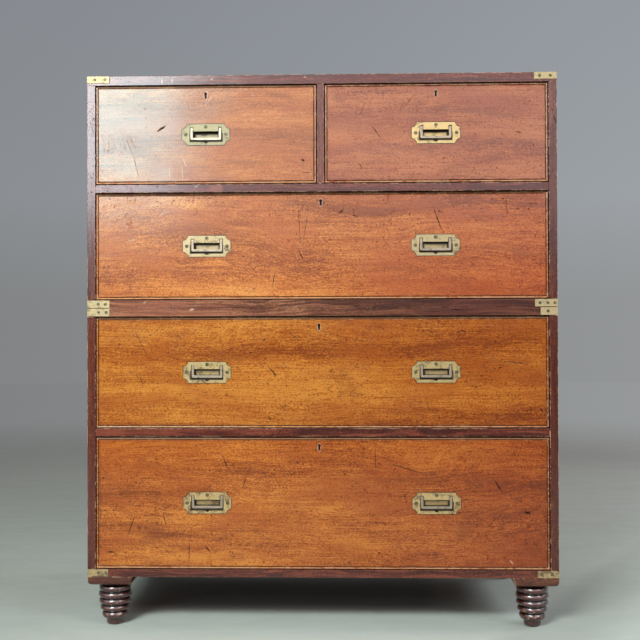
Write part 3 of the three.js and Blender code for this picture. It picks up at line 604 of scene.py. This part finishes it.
# The waist board is darkened towards the right as painted shade
BAND = wood("waist_mahogany", srgb(96, 52, 34), srgb(152, 94, 64), srgb(192, 134, 98), seed=27.9, dents=0.8,
            spread=0.95, streaky=0.5, band=(0.3, 0.008, 0.0042), marks=MARKS["waist"], right_shade=(0.3, 0.2, 0.22),
            right_shade_span=(-0.4, 0.3), **SHELLAC)
STILE = wood("stile_mahogany", srgb(57, 20, 13), srgb(91, 41, 28), srgb(128, 68, 49), along="z", seed=15.1,
             dents=0.8, streaky=0.16, spread=0.85, band=(0.6, 0.02, 0.012), **SHELLAC)
BLOCK = wood("block_mahogany", srgb(54, 26, 19), srgb(88, 46, 33), srgb(122, 70, 50), seed=19.4, gloss=0.24,
             wear=srgb(190, 110, 70))
WORN_EDGE = arris("worn_carcase_edge", srgb(92, 48, 38), srgb(214, 164, 134))
FRONT_EDGE = arris("worn_drawer_edge", srgb(120, 66, 38), srgb(206, 152, 108), 0.45)
LINING = raw_wood("drawer_lining_wood", srgb(120, 82, 52), srgb(190, 150, 104), "y")
BACKS = raw_wood("back_board_wood", srgb(92, 62, 42), srgb(150, 112, 76), "z")
BAIL = brass("bail_brass", srgb(156, 140, 121), srgb(96, 82, 68), 0.5, 0.32, 3.1)
STRAP = brass("strap_brass", srgb(162, 144, 107), srgb(128, 110, 80), 0.45, 0.5, 5.7)
TARNISHED = brass("tarnished_strap_brass", srgb(170, 147, 106), srgb(98, 79, 54), 0.7, 0.46, 8.3)
SCREW = brass("screw_brass", srgb(112, 98, 68), srgb(58, 49, 35), 0.7, 0.42, 2.9)
LOCK = brass("lock_metal", srgb(176, 158, 100), srgb(104, 92, 62), 0.5, 0.42, 6.2)
# Near-black rings under screw heads: grime and painted shade
SETTING_GRIME_AND_SHADE = brass("screw_setting_grime_and_shade", srgb(66, 56, 38), srgb(40, 33, 24), 0.6, 0.5, 4.4)
KEYHOLE_GRIME_AND_SHADE = brass("keyhole_grime_and_shade", srgb(24, 18, 13), srgb(14, 11, 8), 0.6, 0.6, 7.7)
IRON = iron("lock_iron")


def dress(node, materials, width, segments):
    """Gives a CAD node the materials of its faces and any worn arris, and rounds its arrises."""
    obj = nodes[node]
    obj.data.materials.clear()
    for material in materials:
        obj.data.materials.append(material)
    weld = obj.modifiers.new("weld", "WELD")
    weld.merge_threshold = 0.01 * MM
    bevel = obj.modifiers.new("arris", "BEVEL")
    bevel.width = width * MM
    bevel.segments = segments
    bevel.limit_method = "ANGLE"
    bevel.angle_limit = math.radians(35)
    bevel.material = 1 if len(materials) > 1 else -1


def dress_nodes():
    """Dresses every CAD node but the feet, which pieces of their own replace."""
    for name in nodes:
        width, segments = 0.3, 2
        if name.endswith("_front"):
            materials, width = [FRONTS[name.removesuffix("_front")], FRONT_EDGE], 0.45
        elif name.endswith("_box"):
            materials, width = [LINING], 0.6
        elif name.endswith("_handle_plate"):
            materials = [material for drawer, material in PLATES.items() if name.startswith(drawer)]
        elif name.endswith("_bail"):
            materials, width, segments = [BAIL], 0.7, 3
        elif name.endswith("_lock_bolt"):
            materials = [LOCK]
        elif name.endswith("_brass"):
            materials = [TARNISHED if name.startswith("bottom") else STRAP]
        elif name.endswith("_back_panel"):
            materials, width = [BACKS], 0.5
        elif name.endswith("_foot_block"):
            materials, width = [BLOCK, WORN_EDGE], 0.8
        elif name.endswith(("_side", "_partition")):
            materials, width = [STILE, WORN_EDGE], 0.7
        elif name.endswith("_foot"):
            continue
        else:
            board = BAND if name in ("upper_base_board", "lower_top_board") else RAIL
            materials, width = [board, WORN_EDGE], 0.7
        dress(name, materials, width, segments)


# ---- pieces

def piece(name, mesh, material, body, smooth=False):
    """Turns mesh data in row-frame metres into a piece that rides on a body."""
    data = bpy.data.meshes.new(name)
    bmesh.ops.recalc_face_normals(mesh, faces=mesh.faces)
    mesh.to_mesh(data)
    mesh.free()
    data.polygons.foreach_set("use_smooth", [smooth] * len(data.polygons))
    data.materials.append(material)
    obj = bpy.data.objects.new(name, data)
    scene.collection.objects.link(obj)
    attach(obj, body)
    return obj


def facing(place, outward, turn=0.0):
    """Axes at a place whose local z points outward, turned about it."""
    spin = Matrix.Rotation(turn, 4, "Z")
    axes = Vector(outward).to_track_quat("Z", "Y").to_matrix().to_4x4()
    return Matrix.Translation(place) @ axes @ spin


def layered(mesh, rings, matrix, capped=True):
    """Skins equal rings of points, each (points, height), and caps the ends."""
    loops = [[mesh.verts.new(matrix @ Vector((x, y, height))) for x, y in points] for points, height in rings]
    for low, high in zip(loops, loops[1:]):
        for i in range(len(low)):
            k = (i + 1) % len(low)
            mesh.faces.new((low[i], low[k], high[k], high[i]))
    if capped:
        mesh.faces.new(loops[0][::-1])
        mesh.faces.new(loops[-1])


def shrunk(points, share):
    """A convex outline drawn in towards its middle."""
    middle = sum((Vector(p) for p in points), Vector((0, 0))) / len(points)
    return [tuple(middle + (Vector(p) - middle) * share) for p in points]


def circle(radius, count=20):
    angles = [2 * math.pi * i / count for i in range(count)]
    return [(radius * math.cos(a), radius * math.sin(a)) for a in angles]


def screw_head(mesh, matrix, radius):
    """A slotted countersunk head: a floor disc under two half-rounds that leave the slot."""
    disc = circle(radius)
    layered(mesh, [(disc, -0.4 * MM), (disc, 0.02 * MM)], matrix)
    slot = 0.13 * radius
    reach = math.acos(slot / radius)
    for side in (1, -1):
        sweep = [reach * (1 - i / 6) for i in range(13)]
        half = [(side * radius * math.cos(a), radius * math.sin(a)) for a in sweep]
        rings = [(half, -0.3 * MM), (shrunk(half, 0.97), 0.16 * MM), (shrunk(half, 0.8), 0.3 * MM)]
        layered(mesh, rings, matrix)


def screws(name, places, body, radius=3.1 * MM):
    """Screw heads at (place, outward) pairs, each slot at its own angle, with a dark ring round each for grime and
    the painted shade of the countersink.
    """
    mesh, settings = bmesh.new(), bmesh.new()
    for place, outward in places:
        matrix = facing(place, outward, random.uniform(0, math.pi))
        screw_head(mesh, matrix, radius)
        # A dark ring round the head: grime and the painted shade of the countersink
        rim = circle(radius * 1.17)
        layered(settings, [(rim, -0.3 * MM), (shrunk(rim, 0.98), 0.04 * MM)], matrix)
    piece(name, mesh, SCREW, body)
    piece(f"{name}_settings", settings, SETTING_GRIME_AND_SHADE, body)


KEYHOLE_EYE, KEYHOLE_SLOT, KEYHOLE_REACH = 1.95, 1.2, 5.4  # radius, half width and half height in mm


def keyhole_outline(spare, count=14):
    """The keyhole's outline about its middle, widened by spare mm: a round eye over a straight slot."""
    radius, half, low = KEYHOLE_EYE + spare, KEYHOLE_SLOT + spare, -KEYHOLE_REACH - spare
    eye = KEYHOLE_REACH - KEYHOLE_EYE
    spread = math.asin(half / radius)
    angles = [spread - math.pi / 2 + (2 * math.pi - 2 * spread) * i / count for i in range(count + 1)]
    points = [(radius * math.cos(a), eye + radius * math.sin(a)) for a in angles]
    return [(x * MM, y * MM) for x, y in [(half, low), *points, (-half, low)]]


def keyhole_thread(name, body, x, z):
    """The thin lining of a keyhole, let into the front: its rim tarnished, and rim and walls deep in the hole
    near-black as painted shade.
    """
    mesh = bmesh.new()
    # Painted shade: the near-black walls reach 9.8 mm into the hole
    rings = [(0.9, -1), (0.9, 0.05), (0.7, 0.16), (0.2, 0.16), (0.05, 0), (0.05, -9.8)]
    rings = [(keyhole_outline(spare), height * MM) for spare, height in rings]
    layered(mesh, rings, facing((x, DRAWER_FACE, z), (0, -1, 0)), False)
    piece(name, mesh, KEYHOLE_GRIME_AND_SHADE, body)


def plate(mesh, x, y, z, edge=0.3 * MM):
    """A flat plate between pairs of coordinates, with eased edges."""
    made = bmesh.ops.create_cube(mesh, size=1)["verts"]
    for vert in made:
        vert.co = Vector([pair[0] if c < 0 else pair[1] for c, pair in zip(vert.co, (x, y, z))])
    edges = list({e for v in made for e in v.link_edges})
    bmesh.ops.bevel(mesh, geom=edges, offset=edge, segments=2, affect="EDGES", profile=0.5)


def lock_pieces(name, x, top):
    """The lock's case and cap in the back of a front, and the selvedge plate on its top edge."""
    back = DRAWER_FACE + FRONT_THICK
    middle = top - 25 * MM
    thick = 1.3
    for part, material, half, high, near, far in (("case", IRON, 28.7, 19.7, -11.7, -10.9),
                                                  ("cap", LOCK, 31, 22, 0.05, thick)):
        mesh = bmesh.new()
        across, level = (x - half * MM, x + half * MM), (middle - high * MM, middle + high * MM)
        plate(mesh, across, (back + near * MM, back + far * MM), level)
        piece(f"{name}_lock_{part}", mesh, material, name)
    face = back + thick * MM
    places = [((x + dx * MM, face, middle + dz * MM), (0, 1, 0)) for dx in (-26, 26) for dz in (-17, 17)]
    screws(f"{name}_lock_cap_screws", places, name, 2.4 * MM)
    mesh = bmesh.new()
    half, notch, near, deep, far = 30.9, 11.5, 11.1, 17.9, 21.9
    corners = [(-half, near), (-notch, near), (-notch, deep), (notch, deep), (notch, near), (half, near)]
    points = [(a * MM, b * MM) for a, b in [*corners, (half, far), (-half, far)]]
    layered(mesh, [(points, -1.1 * MM), (points, -0.1 * MM)], Matrix.Translation((x, DRAWER_FACE, top)))
    piece(f"{name}_selvedge_plate", mesh, LOCK, name)
    places = [((x + dx * MM, DRAWER_FACE + 16.5 * MM, top - 0.1 * MM), (0, 0, 1)) for dx in (-24, 24)]
    screws(f"{name}_selvedge_screws", places, name, 2.3 * MM)


def handle_screws(name, word, x, z):
    """The three screws of a handle plate."""
    face = DRAWER_FACE - 0.3 * MM
    places = [((x + dx * MM, face, z + dz * MM), (0, -1, 0)) for dx, dz in ((-39.2, 0), (39.7, 0), (0, 15.5))]
    screws(f"{name}_{word}handle_screws", places, name)


# The levels of corner brasses: name, body, and in mm the screws' z, and their x in the left and right legs
STRAP_LEVELS = [
    ("top", "upper_carcase", 1072.8, [-441.5, -421.5], [424.5, 444.5]),
    ("upper_base", "upper_carcase", 633.1, [-435.5, -421.5], [422.9, 438.2, 451.5]),
    ("lower_top", "lower_carcase", 617.1, [-434.5, -420], [438.5]),
    ("bottom", "lower_carcase", 109.6, [-435.8, -421], [424, 443.5]),
]


def strap_screws():
    """Screws of the corner brasses, on the front legs where the photograph has them."""
    for level, body, z, left, right in STRAP_LEVELS:
        for word, side, across in (("left", -1, left), ("right", 1, right)):
            node = f"{level}_{word}_corner_brass"
            places = [((x * MM, FRONT_PLANE, z * MM), (0, -1, 0)) for x in across]
            low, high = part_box(node)
            for share in (0.42, 0.8):
                y = low.y + (high.y - low.y) * share
                places.append(((side * HALF_WIDTH, y, z * MM), (side, 0, 0)))
            if level == "top":
                places += [((x * MM, low.y + 9 * MM, high.z), (0, 0, 1)) for x in across]
            screws(f"{node}_screws", places, body, 2.6 * MM)


def rear_straps():
    """Thin brasses round the rear corners, level with the ones in front, which the photo doesn't show."""
    rear, thick, leg, lap = -FRONT_PLANE, 0.6 * MM, 43.5 * MM, 16 * MM
    for name, body, *_ in STRAP_LEVELS:
        low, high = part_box(f"{name}_left_corner_brass")
        level, middle = (low.z, high.z), (low.z + high.z) / 2
        mesh, places = bmesh.new(), []
        for side in (-1, 1):
            out = side * HALF_WIDTH
            skin = sorted((out, out + side * thick))
            plate(mesh, skin, (rear - leg, rear + thick), level, 0.2 * MM)
            plate(mesh, sorted((out + side * thick, out - side * leg)), (rear, rear + thick), level, 0.2 * MM)
            places += [((out + side * thick, rear - share * leg, middle), (side, 0, 0)) for share in (0.2, 0.8)]
            places += [((out - side * share * leg, rear + thick, middle), (0, 1, 0)) for share in (0.3, 0.8)]
            if name == "top":
                lid = (high.z - 0.1 * MM, high.z + thick)
                plate(mesh, sorted((out, out - side * lap)), (rear - leg, rear), lid, 0.2 * MM)
                plate(mesh, sorted((out - side * lap, out - side * leg)), (rear - lap, rear), lid, 0.2 * MM)
                for in_x, in_y in ((8, 34), (34, 8)):
                    places.append(((out - side * in_x * MM, rear - in_y * MM, lid[1]), (0, 0, 1)))
        piece(f"{name}_rear_brasses", mesh, STRAP, body)
        screws(f"{name}_rear_brass_screws", places, body, 2.6 * MM)


# ---- turned feet

FOOT_X, FOOT_Y = 0.413, 0.1845
# In millimetres: the whole height, the greatest radius, the neck, the pad, and the spigot above the foot
FOOT_HEIGHT, FOOT_RADIUS, NECK, PAD_HEIGHT, PAD_RADIUS, SPIGOT = 84.5, 32.5, 5, 14, 17, 26.5
RINGS = [0.96, 1, 0.965, 0.895, 0.79]
GROOVE = 4.2


def foot_profile():
    """(radius, height, whether on a ring's crest) from the floor up, in millimetres."""
    radii = [share * FOOT_RADIUS for share in RINGS]
    pitch = (FOOT_HEIGHT - PAD_HEIGHT - NECK) / len(radii)
    points = [(0, 0, 0), (PAD_RADIUS - 4, 0, 0), (PAD_RADIUS - 1.3, 1, 0.3), (PAD_RADIUS, 4, 0.3)]
    points += [(PAD_RADIUS, 9, 0.2), (PAD_RADIUS, PAD_HEIGHT - 0.2, 0)]
    for ring in range(len(radii) - 1, -1, -1):
        base = FOOT_HEIGHT - NECK - pitch * (ring + 1)
        below = radii[min(ring + 1, len(radii) - 1)]
        for step in range(15):
            share = step / 14
            foot_of = below + (radii[ring] - below) * min(1, share * 3)
            full = math.sin(math.pi * share) ** 0.5
            points.append((min(foot_of, radii[ring]) - GROOVE * (1 - full), base + pitch * share, full ** 3))
    points += [(radii[0] - GROOVE, FOOT_HEIGHT, 0), (12, FOOT_HEIGHT, 0), (12, FOOT_HEIGHT + SPIGOT - 2, 0)]
    points += [(10, FOOT_HEIGHT + SPIGOT, 0), (0, FOOT_HEIGHT + SPIGOT, 0)]
    return points


def turned_wood():
    """Nearly black polish over red wood, which shows where the rings are chipped; the grooves between the rings are
    painted black as their shade.
    """
    material, net, where = new_material("turned_mahogany_polish")
    chip, crest = (net.add("Attribute", {}, attribute_name=name).outputs["Fac"] for name in ("chip", "crest"))
    lines = net.noise(where, (0.004, 0.004, 0.05))
    tone = net.colours(lines, (0.35, srgb(50, 18, 15)), (0.65, srgb(92, 38, 30)))
    # Painted shade: black in the grooves between the rings
    tone = net.mix(net.ramp(crest, 0.02, 0.75), srgb(9, 5, 5), tone)
    bare = net.colours(lines, (0.35, srgb(112, 62, 44)), (0.65, srgb(186, 134, 98)))
    colour = net.mix(net.ramp(chip, 0.25, 0.6), tone, bare)
    rough = net.ramp(chip, 0.2, 0.7, 0.2, 0.5)
    net.finish(Base_Color=colour, Roughness=rough, Normal=net.bump(lines, 0.2 * MM), Coat_Weight=1.0,
                 Coat_Roughness=0.18)
    return material


def turned_foot(node, x, y, material):
    """The foot's fuller turning, its rings chipped by a noise that each foot reads elsewhere."""
    count = 96
    mesh = bmesh.new()
    chip_layer, crest_layer = (mesh.verts.layers.float.new(name) for name in ("chip", "crest"))
    loops = []
    for radius, height, crest in foot_profile():
        polished = height < FOOT_HEIGHT + 0.1
        loop = []
        for i in range(count if radius else 1):
            angle = 2 * math.pi * i / count
            spot = Vector((math.cos(angle) * radius + x * 900, math.sin(angle) * radius + y * 900, height))
            knock = noise.noise(spot / 7) + 0.5 * noise.noise(spot / 2.5)
            chip = max(0.0, min(1.0, (knock - 0.52 + 0.14 * (height < 34)) * 6)) * crest
            out = (radius - 0.9 * chip + 0.15 * crest * noise.noise(spot / 14)) * MM
            vert = mesh.verts.new((x + out * math.cos(angle), y + out * math.sin(angle), height * MM))
            vert[chip_layer] = chip if polished else 1.0
            vert[crest_layer] = crest if polished and height > PAD_HEIGHT - 1 else 0.6
            loop.append(vert)
        loops.append(loop)
    for low, high in zip(loops, loops[1:]):
        for i in range(count):
            k = (i + 1) % count
            if len(low) == 1:
                mesh.faces.new((low[0], high[k], high[i]))
            elif len(high) == 1:
                mesh.faces.new((low[i], low[k], high[0]))
            else:
                mesh.faces.new((low[i], low[k], high[k], high[i]))
    made = piece(f"{node}_turning", mesh, material, node, True)
    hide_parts(node)


# ---- room and light

FAR = srgb(140, 142, 143)
FLOOR_RADIUS = 9
FLOOR_FADE = (2.2, 4.6)  # distance over which the floor turns into the far wall
SIDEWAYS = 2.1  # distance at which the light's change from left to right is half of what it is far away


def sky_share(net, across, up, depth):
    """Where the window behind the camera shows sky, by direction."""
    sides = (across, -0.165, -0.18), (across, -0.5, -0.46), (up, 0.1, 0.15), (up, 0.42, 0.38)
    return net.times(net.math("LESS_THAN", depth, -0.3), *(net.ramp(*side) for side in sides))


def surroundings():
    """The world: a soft grey distance for the camera, brighter to the right as painted light, and a lit wall and
    window behind it for the polish.
    """
    world = bpy.data.worlds.new("room")
    scene.world = world
    world.use_nodes = True
    net = Net(world.node_tree)
    across, depth, height = net.parts(net.add("TexCoord", {}).outputs["Generated"])
    distance = net.colours(height, (0, FAR), (0.03, FAR), (0.13, srgb(149, 153, 157)),
                             (0.32, srgb(143, 147, 153)))
    # Painted light: the distance is brighter to the right
    distance = net.mix(1, distance, net.grey(net.times_plus(across, 0.4, 1.0)), "MULTIPLY")
    glow = net.colours(height, (0, (0, 0, 0, 1)), (0.25, (0.06, 0.055, 0.05, 1)), (1, (0.3, 0.27, 0.25, 1)))
    wall = net.colours(
        height, (0, (0.05, 0.05, 0.05, 1)), (0.06, (0.3, 0.27, 0.28, 1)), (0.13, (0.9, 0.82, 0.84, 1)),
        (0.22, (1, 0.92, 0.95, 1)), (0.5, (0.5, 0.48, 0.48, 1)),
    )
    wall = net.mix(1, wall, (3, 3, 3, 1), "MULTIPLY")
    away = net.most(net.times(depth, -1.0), 0.3)
    sky = sky_share(net, net.math("DIVIDE", across, away), net.math("DIVIDE", height, away), depth)
    wall = net.mix(sky, wall, (10, 11.9, 13.3, 1))
    mirrored = net.mix(net.ramp(depth, -0.7, 0.1), wall, distance)
    path = net.add("LightPath", {}).outputs
    unseen = net.mix(path["Is Glossy Ray"], glow, mirrored)
    seen = net.most(path["Is Camera Ray"], path["Is Transmission Ray"])
    back = net.add("Background", {"Color": net.mix(seen, unseen, distance), "Strength": 1.0})
    net.add("OutputWorld", {"Surface": back.outputs[0]})


def floor_painted_light(net, x, y, distance):
    """Painted light and shadow on the floor by place: lighter to the right and in a patch right of and behind the
    chest, a painted shadow under the chest, and darker left of it and in a band of cast shadow to its right.
    """
    # Painted light: lighter towards the right, more so far off
    side = net.math("DIVIDE", net.times(x, distance), net.math("ADD", distance, SIDEWAYS))
    side = net.most(net.times(side, 0.12), net.times(side, 0.4))
    light = net.math("MINIMUM", net.math("ADD", side, 1.0), 1.4)
    # A painted lit patch right of and behind the chest, and painted shade left of it
    behind = net.times(net.ramp(y, 0, 0.4), net.ramp(y, 1.7, 2.5, 1, 0), net.ramp(x, 0.35, 0.75))
    beside = net.times(net.ramp(x, -0.35, -0.6), net.ramp(y, 0.05, 0.4, 1, 0))
    # A painted shadow under the chest
    rear = net.most(net.times(x, -0.5), y)
    under = net.times(net.ramp(y, -0.1, -0.04), net.ramp(x, 0.2, 0.32, 1, 0), net.ramp(rear, 0.25, 0.21))
    # A painted cast shadow in a slanting band right of the chest
    slant = net.times_plus(y, -0.6, x)
    band = net.times(net.ramp(slant, 0.46, 0.54), net.ramp(slant, 0.62, 0.76, 1, 0))
    cast = net.times(band, net.ramp(y, 0.3, 0.8, 0.2, 0))
    for share, amount in ((beside, -0.08), (behind, 0.2), (under, -0.55), (cast, -1.0)):
        light = net.times_plus(share, amount, light)
    return light


def floor_material():
    """Scuffed pale paint with painted light: paler round a spot in front of the chest and darker further off, lit
    and shadowed by place, and far off turning into a glowing backdrop that is brighter to the right.
    """
    material, net, where = new_material("painted_floor")
    distance = net.vector("LENGTH", where, output="Value")
    # Painted light: the floor is paler round a spot in front of the chest and darker further off
    ahead = net.vector("DISTANCE", where, (0, -0.7, 0), output="Value")
    spread = net.math("DIVIDE", ahead, 5.0)
    spread = net.times_plus(net.noise(where, 0.5, detail=4, roughness=0.6), 0.04, spread)
    colour = net.colours(spread, (0.05, srgb(214, 222, 217)), (0.2, srgb(193, 200, 195)),
                           (0.36, srgb(176, 181, 177)), (0.66, srgb(176, 179, 177)))
    x, y, _ = net.parts(where)
    scuffed = net.noise(where, (0.16, 0.06, 0.1), detail=6, roughness=0.72, distortion=0.8)
    light = net.times(floor_painted_light(net, x, y, distance), net.ramp(scuffed, 0.35, 0.65, 0.965, 1.03))
    colour = net.mix(1, colour, net.grey(light), "MULTIPLY")
    inputs = {"Base Color": colour, "Roughness": 0.75, "Specular IOR Level": 0.12}
    lit = net.add("BsdfPrincipled", inputs).outputs[0]
    # Painted light: the far floor glows as a backdrop, brighter to the right
    level = net.math("DIVIDE", x, net.math("ADD", distance, SIDEWAYS))
    fog = net.mix(1, net.grey(net.times_plus(level, 0.55, 1.0)), FAR, "MULTIPLY")
    fog = net.add("Emission", {"Color": fog, "Strength": 1.0}).outputs[0]
    mixed = net.add("MixShader", {0: net.ramp(distance, *FLOOR_FADE), 1: lit, 2: fog}).outputs[0]
    net.add("OutputMaterial", {"Surface": mixed})
    return material


def room():
    """The surroundings and a pale floor that fades into them."""
    surroundings()
    mesh = bmesh.new()
    bmesh.ops.create_circle(mesh, cap_ends=True, radius=FLOOR_RADIUS, segments=96)
    data = bpy.data.meshes.new("floor")
    mesh.to_mesh(data)
    mesh.free()
    floor = bpy.data.objects.new("floor", data)
    scene.collection.objects.link(floor)
    data.materials.append(floor_material())


# Name, place, target, width and height, radiance and colour
LAMPS = [
    ("window", (-1.53, -3.2, 1.9), (-1.53, 0, 1.9), (1.46, 1.3), 5.5, (0.98, 1, 1)),
    ("left_softbox", (-1.08, -2.75, 2.25), (-0.1, -0.1, 0.5), (1.2, 0.5), 45, (0.88, 1, 0.94)),
    ("right_softbox", (2.5, -2.4, 2.1), (0.2, -0.2, 0.2), (1.4, 0.8), 9.5, (0.92, 0.95, 0.95)),
    ("right_window", (2.8, 0.2, 2.2), (0.3, 0, 0), (1.6, 1.2), 4.5, (0.93, 0.98, 1)),
    ("rear_fill", (-1, 2.6, 3.4), (0, 0, 0.7), (2.6, 1.6), 0.8, (1, 0.98, 0.96)),
]


def lamps():
    """Broad lamps, each as bright as its radiance whatever its size."""
    for name, place, target, (width, height), radiance, colour in LAMPS:
        data = bpy.data.lights.new(name, "AREA")
        data.shape = "RECTANGLE"
        data.size, data.size_y = width, height
        data.energy = radiance * math.pi * width * height
        data.color = colour
        obj = bpy.data.objects.new(name, data)
        aim = Vector(target) - Vector(place)
        obj.matrix_world = Matrix.Translation(place) @ aim.to_track_quat("-Z", "Y").to_matrix().to_4x4()
        scene.collection.objects.link(obj)


camera()
dress_nodes()
for drawer, level, (key_x, key_z), handles in DRAWERS:
    keyhole_thread(f"{drawer}_keyhole_thread", drawer, key_x, key_z)
    lock_pieces(drawer, key_x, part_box(f"{drawer}_front")[1].z)
    for word, handle_x in handles:
        handle_screws(drawer, word, handle_x, level)
strap_screws()
rear_straps()
polish = turned_wood()
for depth, y in (("front", -FOOT_Y), ("rear", FOOT_Y)):
    for word, x in (("left", -FOOT_X), ("right", FOOT_X)):
        turned_foot(f"{depth}_{word}_foot", x, y, polish)
room()
lamps()

scene.view_settings.view_transform = "Standard"
